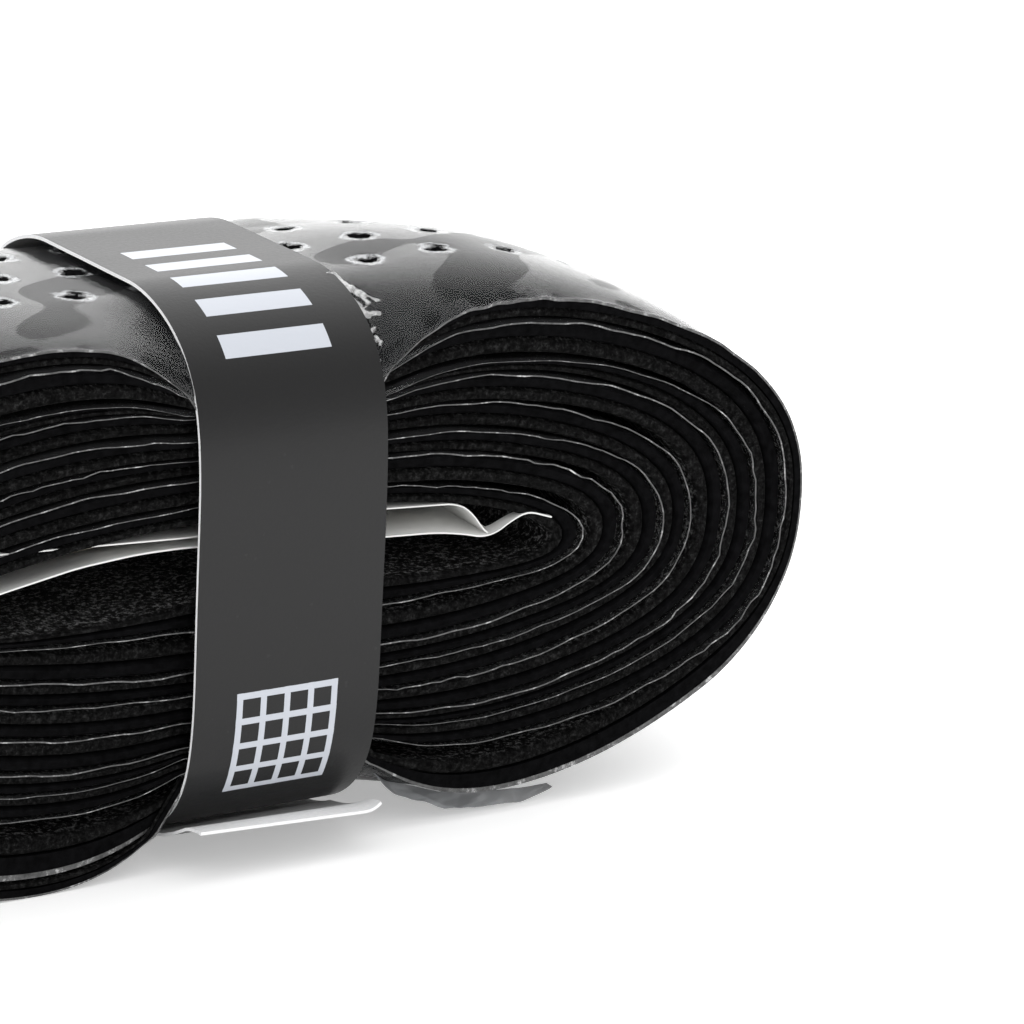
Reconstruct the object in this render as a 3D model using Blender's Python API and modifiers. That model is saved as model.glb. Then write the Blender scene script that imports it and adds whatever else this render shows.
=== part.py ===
"""A roll of replacement grip tape for rackets, squeezed into a flat oval by a paper band.

The tape is one long strip of three plies: a clear protective film outside, the grip face
under it and a felt backing inside. It is wound eight times round a nearly empty core, where
a patch of adhesive, its release liner and the finishing tape on its own liner are tucked in.
A paper band holds the roll across its middle. Its two ends lap and are glued underneath, and
the last few millimetres of the outer end are a free flap.

X runs along the oval, Y across the tape and Z up. The origin is the middle of the band's
flat underside, on which the roll stands.
"""
import math

import bmesh
import bpy

MM = 0.001

# The tape and its plies
TAPE_WIDTH = 25.0 * MM
FILM_THICKNESS = 0.10 * MM
FACE_THICKNESS = 0.52 * MM
FELT_THICKNESS = 0.46 * MM
PLY_GAP = 0.15 * MM

# The winding
TURNS = 8
TURN_SEGMENTS = 24
CORE_HALF_LENGTH = 17.0 * MM
CORE_HALF_HEIGHT = 1.8 * MM
TIP_SLACK = 0.67 * MM           # extra room that each turn takes at the oval's two tips
OVAL_EXPONENT = 2.4

# What is tucked in the core, from the felt inwards
ADHESIVE_THICKNESS = 0.10 * MM
LINER_THICKNESS = 0.10 * MM
FINISHING_THICKNESS = 0.14 * MM
ADHESIVE_WIDTH = TAPE_WIDTH - 4.0 * MM
LINER_WIDTH = TAPE_WIDTH - 2.0 * MM
FINISHING_WIDTH = TAPE_WIDTH - 7.0 * MM
TUCKED_FIRST_SEGMENT = 9
TUCKED_LAST_SEGMENT = 15

# The paper band
BAND_WIDTH = 11.7 * MM
BAND_THICKNESS = 0.20 * MM
BAND_CLEARANCE = 0.30 * MM      # between the roll and the inside of the band
EDGE_ROOM = 0.75 * MM           # how far the band's side bows out from the tape's edge
FLAT_HALF = 5.0 * MM            # half of the flat stretch of the band above and below
CORNER_DEPTH_EXPONENT = 1.75    # roundness of the band's corners, across the tape
CORNER_HEIGHT_EXPONENT = 5.0    # and up and down
CORNER_SEGMENTS = 8
CHAMFER_STATION = 0.3 * TAPE_WIDTH   # half of the roll's level middle; past it its edges drop

# The lap under the roll and the free flap
GLUE_THICKNESS = 0.10 * MM
GLUE_GAP = 0.12 * MM
GLUE_MARGIN = 1.0 * MM
INNER_END = 3.0 * MM            # where the band's inner end stops, behind the middle
CREASE = 8.8 * MM               # where the outer end leaves the roll, in front of the middle
FLAP_LENGTH = 6.1 * MM
FLAP_RISE = math.radians(18.0)
FLAP_GAP = 0.30 * MM

# Sizes that follow from those
TURN_HEIGHT = FILM_THICKNESS + FACE_THICKNESS + FELT_THICKNESS + 3.0 * PLY_GAP
TURN_LENGTH = TURN_HEIGHT + TIP_SLACK
# The winding reaches half a turn's pitch farther below its middle than above it.
ROLL_HALF_HEIGHT = CORE_HALF_HEIGHT + (TURNS + 0.75) * TURN_HEIGHT
LAP_STEP = BAND_THICKNESS + 2.0 * GLUE_GAP + GLUE_THICKNESS
BAND_HALF_HEIGHT = ROLL_HALF_HEIGHT + BAND_CLEARANCE + BAND_THICKNESS
BAND_HALF_DEPTH = TAPE_WIDTH / 2.0 + EDGE_ROOM + BAND_CLEARANCE + BAND_THICKNESS
BAND_MIDDLE = LAP_STEP + BAND_HALF_HEIGHT
WINDING_MIDDLE = BAND_MIDDLE + TURN_HEIGHT / 4.0


def clear_scene():
    """Remove whatever the file holds."""
    for old in list(bpy.data.objects):
        bpy.data.objects.remove(old, do_unlink=True)


def material(name, colour, roughness, alpha=1.0):
    """A Principled material with one colour."""
    made = bpy.data.materials.new(name)
    made.use_nodes = True
    shader = made.node_tree.nodes["Principled BSDF"]
    shader.inputs["Base Color"].default_value = (*colour, 1.0)
    shader.inputs["Roughness"].default_value = roughness
    shader.inputs["Metallic"].default_value = 0.0
    shader.inputs["Alpha"].default_value = alpha
    made.diffuse_color = (*colour, alpha)
    return made


def add_object(mesh, collection, finish, origin=(0.0, 0.0, 0.0)):
    """Put a mesh made in world coordinates into the scene, with its object's origin moved."""
    for vertex in mesh.vertices:
        vertex.co.x -= origin[0]
        vertex.co.y -= origin[1]
        vertex.co.z -= origin[2]
    mesh.materials.append(finish)
    made = bpy.data.objects.new(mesh.name, mesh)
    made.location = origin
    collection.objects.link(made)
    return made


def squeeze(y, half_depth):
    """The band's height at a place across the tape, as a share of its full height.

    It is 1 over the flat middle, then falls along a superellipse to 0 at half_depth.
    """
    past_flat = max(0.0, abs(y) - FLAT_HALF) / (half_depth - FLAT_HALF)
    return (1.0 - past_flat ** CORNER_DEPTH_EXPONENT) ** (1.0 / CORNER_HEIGHT_EXPONENT)


def roll_squeeze(y):
    """The roll's height at a place across the tape, as a share of its full height.

    The roll is level over its middle, and from there straight chamfers run to its two faces,
    whose height is set by the band's corners.
    """
    roll_half_depth = TAPE_WIDTH / 2.0 + EDGE_ROOM
    level = squeeze(CHAMFER_STATION, roll_half_depth)
    face = squeeze(TAPE_WIDTH / 2.0, roll_half_depth)
    share = max(0.0, abs(y) - CHAMFER_STATION) / (TAPE_WIDTH / 2.0 - CHAMFER_STATION)
    return level + (face - level) * share


def signed_power(value, exponent):
    """A power that keeps the sign of what it is taken of."""
    return math.copysign(abs(value) ** exponent, value)


def winding_point(segment, depth, y):
    """A point of the winding: segment counts round the oval, depth goes outwards.

    The path starts under the middle and grows by one turn's pitch each time round. Its
    oval is a superellipse, and towards the tape's edges it is squeezed as the band is.
    """
    turns = segment / TURN_SEGMENTS
    angle = 2.0 * math.pi * turns - math.pi / 2.0
    grown = turns + depth / TURN_HEIGHT
    half_length = CORE_HALF_LENGTH + grown * TURN_LENGTH
    half_height = CORE_HALF_HEIGHT + grown * TURN_HEIGHT
    x = half_length * signed_power(round(math.cos(angle), 9), 2.0 / OVAL_EXPONENT)
    z = half_height * signed_power(math.sin(angle), 2.0 / OVAL_EXPONENT)
    return (x, y, WINDING_MIDDLE + z * roll_squeeze(y))


def wound_strip(name, width, depth, thickness, first, last, collection, finish):
    """A strip of tape wound from one segment to another, as a loft of its cross-sections.

    The faces are warped where the edges are squeezed, so each is split along the same
    diagonal on every ply, which keeps neighbouring plies parallel.
    """
    half = width / 2.0
    stations = (-half, -CHAMFER_STATION, CHAMFER_STATION, half)
    shape = bmesh.new()
    inner, outer = (
        [[shape.verts.new(winding_point(segment, level, y)) for y in stations]
         for segment in range(first, last + 1)]
        for level in (depth, depth + thickness))
    steps = range(last - first)
    spans = range(len(stations) - 1)
    for rows in (inner, outer):
        for step in steps:
            here, there = rows[step], rows[step + 1]
            for span in spans:
                shape.faces.new((here[span], here[span + 1], there[span + 1]))
                shape.faces.new((here[span], there[span + 1], there[span]))
    for station in (0, len(stations) - 1):
        for step in steps:
            shape.faces.new((inner[step][station], inner[step + 1][station],
                             outer[step + 1][station], outer[step][station]))
    for row in (0, len(inner) - 1):
        for span in spans:
            shape.faces.new((inner[row][span], inner[row][span + 1],
                             outer[row][span + 1], outer[row][span]))
    bmesh.ops.recalc_face_normals(shape, faces=shape.faces)
    mesh = bpy.data.meshes.new(name)
    shape.to_mesh(mesh)
    shape.free()
    return add_object(mesh, collection, finish)


def band_height(y):
    """How far the underside of the band's first ply is above its lowest, at a place y."""
    return BAND_HALF_HEIGHT * (1.0 - squeeze(y, BAND_HALF_DEPTH))


def band_corner(side, level, step_down=0.0):
    """The points of one rounded corner of the band, from its flat stretch to mid-height.

    side is -1 in front and 1 behind, and level is -1 below and 1 above.
    """
    points = []
    for index in range(CORNER_SEGMENTS + 1):
        angle = 0.5 * math.pi * index / CORNER_SEGMENTS
        out = math.sin(angle) ** (2.0 / CORNER_DEPTH_EXPONENT)
        up = round(math.cos(angle), 9) ** (2.0 / CORNER_HEIGHT_EXPONENT)
        y = FLAT_HALF + (BAND_HALF_DEPTH - FLAT_HALF) * out
        points.append((side * y, BAND_MIDDLE + level * BAND_HALF_HEIGHT * up - step_down))
    return points


def band_path():
    """The outer face of the band seen from its side: once round the roll, and the lap.

    It starts at the inner end under the roll, goes forward, up the front, over the top and
    down the back, and passes below its own start to the crease.
    """
    under_front = band_corner(-1, -1)
    over_front = band_corner(-1, 1)[:-1]
    over_back = band_corner(1, 1)
    under_back = band_corner(1, -1)[:-1]
    path = [(INNER_END, LAP_STEP)] + under_front + over_front[::-1] + over_back
    # The outer end steps down by one ply, over the last part of the back corner.
    stepping = CORNER_SEGMENTS // 2
    for index in reversed(range(len(under_back))):
        share = max(0.0, 1.0 - index / stepping)
        y, z = under_back[index]
        path.append((y, z - LAP_STEP * share))
    path.append((-FLAT_HALF, 0.0))
    lap_points = 3
    for index in range(1, lap_points + 1):
        y = -FLAT_HALF - (CREASE - FLAT_HALF) * index / lap_points
        path.append((y, band_height(y)))
    return path


def paper_sheet(name, path, width, thickness, collection, finish, origin):
    """A sheet of paper that follows a path across X, solidified inwards from its outer face."""
    shape = bmesh.new()
    edges = []
    for y, z in path:
        edges.append([shape.verts.new((x, y, z)) for x in (-width / 2.0, width / 2.0)])
    for near, far in zip(edges, edges[1:]):
        shape.faces.new((near[0], near[1], far[1], far[0]))
    mesh = bpy.data.meshes.new(name)
    shape.to_mesh(mesh)
    shape.free()
    made = add_object(mesh, collection, finish, origin)
    wall = made.modifiers.new("paper", "SOLIDIFY")
    wall.thickness = thickness
    wall.offset = -1.0
    wall.use_even_offset = True
    return made


def build_tape(collection):
    """The felt backing, the grip face and the film, all wound together."""
    last = TURNS * TURN_SEGMENTS
    plies = (
        ("felt_backing", FELT_THICKNESS, material("black felt", (0.012, 0.012, 0.013), 0.95)),
        ("grip_face", FACE_THICKNESS, material("black polyurethane", (0.010, 0.010, 0.011), 0.55)),
        ("cover_film", FILM_THICKNESS, material("clear film", (0.55, 0.56, 0.58), 0.10, 0.35)),
    )
    depth = 0.0
    for name, thickness, finish in plies:
        wound_strip(name, TAPE_WIDTH, depth, thickness, 0, last, collection, finish)
        depth += thickness + PLY_GAP


def build_core(collection):
    """The adhesive patch, its liner, and the finishing tape and its liner, in the core."""
    plies = (
        ("adhesive_patch", ADHESIVE_THICKNESS, ADHESIVE_WIDTH,
         material("acrylic adhesive", (0.75, 0.73, 0.66), 0.30, 0.60)),
        ("adhesive_liner", LINER_THICKNESS, LINER_WIDTH,
         material("silicone release liner", (0.62, 0.62, 0.61), 0.45)),
        ("finishing_tape", FINISHING_THICKNESS, FINISHING_WIDTH,
         material("black vinyl", (0.015, 0.015, 0.016), 0.35)),
        ("finishing_liner", LINER_THICKNESS, LINER_WIDTH,
         material("release paper", (0.70, 0.70, 0.68), 0.55)),
    )
    depth = 0.0
    for name, thickness, width, finish in plies:
        depth -= PLY_GAP + thickness
        wound_strip(name, width, depth, thickness, TUCKED_FIRST_SEGMENT, TUCKED_LAST_SEGMENT,
                    collection, finish)


def build_band(collection):
    """The paper band, the glue in its lap and the free flap at its crease."""
    paper = material("coated paper", (0.045, 0.045, 0.048), 0.45)
    glue = material("dried glue", (0.70, 0.66, 0.52), 0.40)
    band = paper_sheet("paper_band", band_path(), BAND_WIDTH, BAND_THICKNESS, collection, paper,
                       (0.0, 0.0, BAND_MIDDLE))

    glue_level = BAND_THICKNESS + GLUE_GAP
    glue_path = [(INNER_END - GLUE_MARGIN, glue_level), (GLUE_MARGIN - FLAT_HALF, glue_level)]
    patch = paper_sheet("lap_glue", glue_path, BAND_WIDTH - 2.0 * GLUE_MARGIN, GLUE_THICKNESS,
                        collection, glue, (0.0, 0.0, 0.0))

    pivot = (0.0, -CREASE - FLAP_GAP / 2.0, band_height(CREASE) + BAND_THICKNESS / 2.0)
    root = (-CREASE - FLAP_GAP, band_height(CREASE))
    tip = (root[0] - FLAP_LENGTH * math.cos(FLAP_RISE), root[1] + FLAP_LENGTH * math.sin(FLAP_RISE))
    flap = paper_sheet("band_flap", [root, tip], BAND_WIDTH, BAND_THICKNESS, collection, paper,
                       pivot)
    bpy.context.view_layer.update()
    for piece in (patch, flap):
        piece.parent = band
        piece.matrix_parent_inverse = band.matrix_world.inverted()


def main():
    clear_scene()
    roll = bpy.data.collections.new("grip_tape_roll")
    bpy.context.scene.collection.children.link(roll)
    build_tape(roll)
    build_core(roll)
    build_band(roll)


main()
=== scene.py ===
"""The looks of a roll of racket grip tape, squeezed into a flat oval by a paper band.

The tape is wound as one long strip of felt, grip face and clear film. The winding swells on
both sides of the band, and the perforated face shows through the glossy film on top. A release
liner sticks out of the core, and the free end of the band lies open at the front.

Lengths inside the shape functions are in millimetres, and make_slab turns them to metres.
X runs along the oval, Y across the tape with the front at -Y, and Z up from the floor, as in the
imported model.
"""
import math

import bpy
import numpy as np
from mathutils import Matrix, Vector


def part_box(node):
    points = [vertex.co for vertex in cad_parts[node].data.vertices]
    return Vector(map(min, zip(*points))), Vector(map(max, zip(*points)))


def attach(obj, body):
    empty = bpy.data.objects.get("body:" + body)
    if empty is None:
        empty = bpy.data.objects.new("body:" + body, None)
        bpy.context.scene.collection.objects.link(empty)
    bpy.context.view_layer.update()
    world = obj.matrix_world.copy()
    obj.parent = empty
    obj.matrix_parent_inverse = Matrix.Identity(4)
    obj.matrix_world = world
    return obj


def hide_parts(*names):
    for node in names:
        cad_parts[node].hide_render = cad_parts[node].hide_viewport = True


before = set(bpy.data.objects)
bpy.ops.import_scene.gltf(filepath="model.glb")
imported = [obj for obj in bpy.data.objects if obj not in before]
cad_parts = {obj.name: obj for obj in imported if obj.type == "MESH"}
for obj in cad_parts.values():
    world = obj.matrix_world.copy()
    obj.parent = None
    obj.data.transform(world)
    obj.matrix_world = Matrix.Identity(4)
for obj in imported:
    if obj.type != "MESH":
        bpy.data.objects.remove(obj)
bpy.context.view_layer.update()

bl_info = {
    "name": "Grip tape roll",
    "version": (1, 0, 0),
    "blender": (4, 5, 0),
    "location": "View3D > Sidebar > Grip roll",
    "description": "Builds a banded roll of racket grip tape around its packed frame",
    "category": "Add Mesh",
}

MM = 0.001

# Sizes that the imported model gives, in millimetres
BAND_LOW, BAND_HIGH = (np.array(corner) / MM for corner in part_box("paper_band"))
TAPE_LOW, TAPE_HIGH = (np.array(corner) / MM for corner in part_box("grip_face"))
GLUE_LOW, GLUE_HIGH = (np.array(corner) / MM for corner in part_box("lap_glue"))
TAPE_HALF = (TAPE_HIGH[1] - TAPE_LOW[1]) / 2.0
BAND_HALF_WIDTH = (BAND_HIGH[0] - BAND_LOW[0]) / 2.0
BAND_HALF_DEPTH = (BAND_HIGH[1] - BAND_LOW[1]) / 2.0

# Height of the winding's middle over the floor
MIDDLE = 16.3

# The winding's half-lengths at its left and right tips, and its half-heights at its bottom and
# top. Half a turn lies between two entries, and the first entry's turn is given.
FIRST_TIP = -1.5
TIPS = np.array([15.5, 17.4, 22.5, 19.8, 25.0, 22.6, 27.0, 25.4, 28.8, 27.3,
                 30.6, 29.9, 32.3, 32.0, 33.8, 34.1, 35.0, 35.2, 36.0, 36.6])
FIRST_CROWN = -1.25
CROWNS = np.array([0.5, 3.7, 2.4, 4.9, 5.0, 6.7, 6.3, 7.9, 7.9, 9.4,
                   9.6, 10.9, 10.5, 11.5, 11.8, 13.6, 14.9, 14.9, 15.7, 16.6])

# Turns at the tape's inner end, where its finer outermost length begins, at the top of the roll,
# from where places along the tape are counted, and at its outer end
FIRST_TURN = -0.5
OUTER_TURN = 6.62
TOP_TURN = 7.25
LAST_TURN = 7.745

# The room inside the band: half of the flat over the top, how far the corner reaches past it, the
# corner's two superellipse exponents, and half of the height
FLAT_HALF = 5.0
SQUEEZE_DEPTH = 8.55
CORNER_DEPTH_EXPONENT = 1.75
CORNER_HEIGHT_EXPONENT = 5.0
ROLL_HALF_HEIGHT = 15.35

# Depths of the plies under the winding's outer surface, and of the film on the outermost turn
FILM_DEPTHS = (0.0, 0.07)
OUTER_FILM_DEPTHS = (0.05, 0.118)
FACE_DEPTHS = (0.12, 0.84)
FELT_DEPTHS = (0.87, 1.55)

# Distance between columns across the plies that are plain, and across those with perforations,
# and between rows along them
PLAIN_COLUMN, FINE_COLUMN = 4.0, 0.33
PLAIN_ROW, FINE_ROW = 0.6, 0.35

# How far in from its edges a ply is rounded
ROUNDED_EDGE = 0.35

# The perforations: their pitch along the tape, the pitch of their rows across it, the place of
# one hole of the first row, and how many rows there are
HOLE_PITCH = 4.65
ROW_PITCH = 4.7
FIRST_HOLE = 9.0
FIRST_ROW = -4.4
HOLE_ROWS = 3

# The band: how far its inner end stands over its outer one in the lap under the roll, how far
# back the lap starts, how far forward the flap's crease is, the paper's thickness, the height of
# the middle that its faces look away from, and the distance between rows round it
LAP_HEIGHT = 0.54
LAP_START = 3.0
CREASE_DEPTH = 8.8
BAND_THICKNESS = 0.2
BAND_CENTRE = 16.2
BAND_STEP = 0.35

# The flap: its length, its slope, how far forward and how high it starts, and its thickness
FLAP_LENGTH = 6.2
FLAP_SLOPE = math.radians(20.0)
FLAP_CREASE_DEPTH = 8.98
FLAP_CREASE_HEIGHT = 0.95
FLAP_THICKNESS = 0.18

# Marks printed on the band. Bars: half their pitch, half their thickness, half the run of them
# along the band, half their length across it and their middle across it.
BAR_HALF_PITCH = 1.45
BAR_HALF = 0.75
BARS_HALF_RUN = 7.0
BARS_HALF_LENGTH = 3.3
BARS_ACROSS = -0.2
# Strung net: half the pitch of its strings, half their thickness and half its side
NET_HALF_PITCH = 0.75
STRING_HALF = 0.19
NET_HALF = 3.2


# ---------------------------------------------------------------- numbers

def linear(code):
    """An sRGB hex colour as linear RGBA."""
    parts = [int(code[i:i + 2], 16) / 255.0 for i in (1, 3, 5)]
    return (*(c / 12.92 if c <= 0.04045 else ((c + 0.055) / 1.055) ** 2.4 for c in parts), 1.0)


def shade(colour, factor):
    """A linear colour made lighter or darker by a factor."""
    return tuple(min(1.0, factor * part) for part in colour[:3]) + (1.0,)


def through(values, first, at):
    """A Catmull-Rom curve through values that stand half a turn apart, read at the turns given."""
    place = (np.asarray(at, float) - first) / 0.5
    index = np.clip(np.floor(place).astype(int), 0, len(values) - 2)
    t = place - index
    a, b, c, d = (values[np.clip(index + k, 0, len(values) - 1)] for k in (-1, 0, 1, 2))
    return 0.5 * (2 * b + (c - a) * t + (2 * a - 5 * b + 4 * c - d) * t ** 2
                  + (3 * b - a - 3 * c + d) * t ** 3)


def ripple(along, seed, lengths, size):
    """Sines of about the given wavelengths with seeded phases, added up to about size high."""
    random = np.random.default_rng(seed)
    total = np.zeros_like(along, dtype=float)
    for length in lengths:
        wave = length * random.uniform(0.8, 1.25)
        total += random.uniform(0.6, 1.0) * np.sin(2 * np.pi * (along / wave + random.uniform()))
    return size * total / math.sqrt(len(lengths))


def crumple(u, v, seed, folds, size):
    """Flat facets with sharp creases: triangle waves across the sheet at seeded angles, added up.

    folds are their wavelengths. Each wave is as high as it is long, and its crests are bent a
    little by a sine along them. The sum is scaled to about size.
    """
    random = np.random.default_rng(seed)
    u, v = np.broadcast_arrays(u, v)
    total = np.zeros(u.shape)
    for length in folds:
        angle = random.uniform(0, np.pi)
        bend = 0.25 * np.sin(2 * np.pi * (u * np.sin(angle) - v * np.cos(angle)) / (length * 2.3))
        phase = (u * np.cos(angle) + v * np.sin(angle)) / length + random.uniform() + bend
        total += (np.abs(2 * (phase - np.floor(phase)) - 1) - 0.5) * length
    return size * total / sum(folds)


def smoothed(column, count):
    """A column of values, each the mean of the count values about it."""
    padded = np.pad(column[:, 0], count // 2, mode="edge")
    return np.convolve(padded, np.ones(count) / count, mode="valid")[:, None]


def points(x, y, z):
    """A grid of points from x, y and z, which are broadcast together."""
    return np.stack(np.broadcast_arrays(x, y, z), -1)


# ---------------------------------------------------------------- the winding

def squeeze(y):
    """The band's inner height across the tape: 1 over the flat, then a superellipse to the side.

    It stops just short of the side, so that it is never 0.
    """
    past = np.clip(np.abs(y) - FLAT_HALF, 0.0, SQUEEZE_DEPTH * 0.995) / SQUEEZE_DEPTH
    return (1.0 - past ** CORNER_DEPTH_EXPONENT) ** (1.0 / CORNER_HEIGHT_EXPONENT)


def oval(turn):
    """The winding's outer surface at a turn, seen from the side, about its middle.

    A superellipse whose half-length and half-height grow with the turn. Its exponent grows from
    2.1 to 2.6, which makes it squarer, and is 0.2 less over the top of the last turn.
    """
    angle = 2 * np.pi * turn
    over_top = np.clip((turn - 6.9) / 0.1, 0, 1) * np.clip((7.4 - turn) / 0.1, 0, 1)
    power = 2.0 / (2.1 + 0.5 * np.clip(turn / 7.5, 0, 1) - 0.2 * over_top)
    cosine, sine = np.cos(angle), np.sin(angle)
    x = through(TIPS, FIRST_TIP, turn) * np.sign(cosine) * np.abs(cosine) ** power
    z = through(CROWNS, FIRST_CROWN, turn) * np.sign(sine) * np.abs(sine) ** power
    return x, z


def pinch(x, y, z, depth):
    """The height that the band leaves the winding at (x, y): squeezed under it, swollen beside it.

    share: how much a point is moved, which grows with its distance from the winding's middle.
    held: how much of the squeeze reaches it. That is all of it within 6 mm of the band's middle,
    and it fades over 3.5 mm. swell: how far it has swollen again, over 9 mm.
    crown: how far the top bulges, the most 3 mm in front of the middle and less to both edges.
    left: 1 on the left of the band, where the top bulges less and the bottom more.
    No ply passes the band's inner height or the floor, and a deeper ply stops lower. The limit
    rises beside the band.
    """
    share = np.minimum(np.abs(z) / 15.1, 1.1) ** 2.4
    away = np.maximum(np.abs(x) - 6.0, 0.0)
    held = np.exp(-(away / 3.5) ** 1.3)
    swell = 1.0 - np.exp(-(away / 9.0) ** 2)
    to_front, to_back = 1.5 * np.abs((y + 3.0) / 9.5) ** 3.5, 2.6 * ((y + 3.0) / 12.5) ** 2
    crown = 1.5 - np.where(y < -3.0, to_front, to_back)
    crown = np.maximum(crown, 0.0) * (0.3 + 0.7 * swell) + np.minimum(crown, 0.0) * swell
    left = np.clip((-x - 1.0) / 6.0, 0.0, 1.0)
    lowered = z * (1.0 - 0.78 * (1.0 - squeeze(y)) * share * held)
    bulge = swell + (z > 0) * crown * (1.0 - 0.6 * left) + (z < 0) * 0.8 * left
    raised = lowered + np.sign(z) * share * bulge
    limit = ROLL_HALF_HEIGHT * squeeze(y) + 1.5 * np.maximum(np.abs(x) - 5.6, 0.0) - 0.8 * depth
    above = limit - 0.8 * left * np.clip(1.0 - np.abs(y) / 11.0, 0.0, 1.0)
    return np.clip(raised, -np.minimum(limit, MIDDLE - 0.03), above)


def wound(turn, depth, y):
    """Points of the wound tape: a turn, a depth under the winding's surface, a place across.

    A point lies on the line from its turn's outer surface to the next turn in. fill presses the
    plies together or spreads them where the room between the turns is less or more than the
    tape's thickness, and loose lets them wander where there is plenty.
    """
    turn, depth, y = np.broadcast_arrays(turn, depth, y)
    outer_x, outer_z = oval(turn)
    inner_x, inner_z = oval(turn - 1.0)
    room = np.hypot(outer_x - inner_x, outer_z - inner_z)
    fill = np.clip((room - 0.12) / FELT_DEPTHS[1], 0.25, 1.3)
    loose = ripple(turn * 60.0, 5, (61.0, 23.0, 11.0, 6.0), 0.10) * np.clip(room - 1.3, 0.0, 1.0)
    share = (depth * fill + loose + 0.04) / room
    x = outer_x + (inner_x - outer_x) * share
    z = outer_z + (inner_z - outer_z) * share
    return points(x, y, MIDDLE + pinch(x, y, z, depth))


def arc_lengths():
    """Turns, and how far along the middle of the tape's outer side each lies from TOP_TURN."""
    turns = np.linspace(FIRST_TURN, LAST_TURN, 12001)
    steps = np.linalg.norm(np.diff(wound(turns, 0.0, 0.0), axis=0), axis=1)
    along = np.concatenate([[0.0], np.cumsum(steps)])
    return turns, along - np.interp(TOP_TURN, turns, along)


TURNS, ALONG = arc_lengths()


def rows_between(first, last, step):
    """Turns from first to last at an even step along the tape, and their places along it."""
    start, end = np.interp([first, last], TURNS, ALONG)
    along = np.linspace(start, end, int(round((end - start) / step)) + 1)
    return np.interp(along, ALONG, TURNS), along


def sideways(along):
    """How far the tape has strayed across, at a place along it."""
    return ripple(along, 3, (170.0, 83.0, 37.0), 0.28)


# ---------------------------------------------------------------- meshes

def make_slab(name, upper, lower, uv, materials, sharp=35.0):
    """A closed sheet between two grids of points in millimetres, with a rim round it.

    materials are those of the upper face, the lower face and the rim. uv holds the points'
    places along and across the flat sheet, and one unit is 100 mm. The faces are turned to look
    outward if the volume inside them comes out below zero, and edges over sharp degrees stay
    sharp.
    """
    rows, columns = upper.shape[:2]
    count = rows * columns
    index = np.arange(count).reshape(rows, columns)
    top = np.stack([index[:-1, :-1], index[:-1, 1:], index[1:, 1:], index[1:, :-1]], -1)
    top = top.reshape(-1, 4)
    bottom = top[:, ::-1] + count
    ring = np.concatenate([index[0, :], index[1:, -1], index[-1, -2::-1], index[-2:0:-1, 0]])
    ahead = np.roll(ring, -1)
    rim = np.stack([ahead, ring, ring + count, ahead + count], -1)
    quads = np.concatenate([top, bottom, rim])
    corners = np.concatenate([upper.reshape(-1, 3), lower.reshape(-1, 3)])
    a, b, c, d = (corners[quads[:, k]] for k in range(4))
    halves = ((a, b, c), (a, c, d))
    if sum(np.einsum("ij,ij->i", p, np.cross(q, r)).sum() for p, q, r in halves) < 0:
        quads = quads[:, ::-1]
    mesh = bpy.data.meshes.new(name)
    mesh.vertices.add(len(corners))
    mesh.vertices.foreach_set("co", (corners * MM).astype(np.float32).ravel())
    mesh.loops.add(quads.size)
    mesh.loops.foreach_set("vertex_index", quads.astype(np.int32).ravel())
    mesh.polygons.add(len(quads))
    mesh.polygons.foreach_set("loop_start", np.arange(0, quads.size, 4, dtype=np.int32))
    kinds = np.repeat([0, 1, 2], [len(top), len(bottom), len(rim)]).astype(np.int32)
    mesh.polygons.foreach_set("material_index", kinds)
    both = np.tile(uv.reshape(-1, 2), (2, 1))[quads.ravel()]
    mesh.uv_layers.new(name="UVMap").data.foreach_set("uv", both.astype(np.float32).ravel())
    mesh.update(calc_edges=True)
    mesh.validate()
    mesh.shade_smooth()
    mesh.set_sharp_from_angle(angle=math.radians(sharp))
    for finish in materials:
        mesh.materials.append(finish)
    made = bpy.data.objects.new(name, mesh)
    bpy.context.scene.collection.objects.link(made)
    return made


def normals(grid):
    """Unit normals of a grid of points, from its differences along and across."""
    cross = np.cross(np.gradient(grid, axis=0), np.gradient(grid, axis=1))
    return cross / np.maximum(np.linalg.norm(cross, axis=-1, keepdims=True), 1e-9)


def make_sheet(name, face, thickness, uv, materials, sharp=35.0):
    """A sheet of even thickness on the back of a grid of points, taken along its normals."""
    return make_slab(name, face, face - thickness * normals(face), uv, materials, sharp)


def flat_uv(along, across):
    """UV coordinates of a grid, one unit for each 100 mm."""
    along, across = np.broadcast_arrays(along, across)
    return np.stack([along, across], -1) / 100.0


def put(piece, body, slot, *nodes):
    """Fix a piece to its body and hide the CAD nodes that it stands for. slot is not used."""
    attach(piece, body)
    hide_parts(*nodes)
    return piece


# ---------------------------------------------------------------- materials

def add(tree, kind, inputs=(), **settings):
    """Add a node: inputs are (socket, value or socket to link) pairs, settings its own fields."""
    node = tree.nodes.new(kind)
    for field, value in settings.items():
        setattr(node, field, value)
    for socket, value in inputs:
        if isinstance(value, bpy.types.NodeSocket):
            tree.links.new(value, node.inputs[socket])
        else:
            node.inputs[socket].default_value = value
    return node


def start(name, colour, roughness, specular=0.5):
    """A new Principled material with its flat values, its tree and its shader."""
    made = bpy.data.materials.new(name)
    made.use_nodes = True
    shader = made.node_tree.nodes["Principled BSDF"]
    shader.inputs["Base Color"].default_value = colour
    shader.inputs["Roughness"].default_value = roughness
    shader.inputs["Specular IOR Level"].default_value = specular
    return made, made.node_tree, shader


def math_node(tree, operation, first, second=0.0, third=0.0):
    """The result of one arithmetic step between sockets or numbers."""
    inputs = ((0, first), (1, second), (2, third))
    return add(tree, "ShaderNodeMath", inputs, operation=operation).outputs[0]


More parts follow.
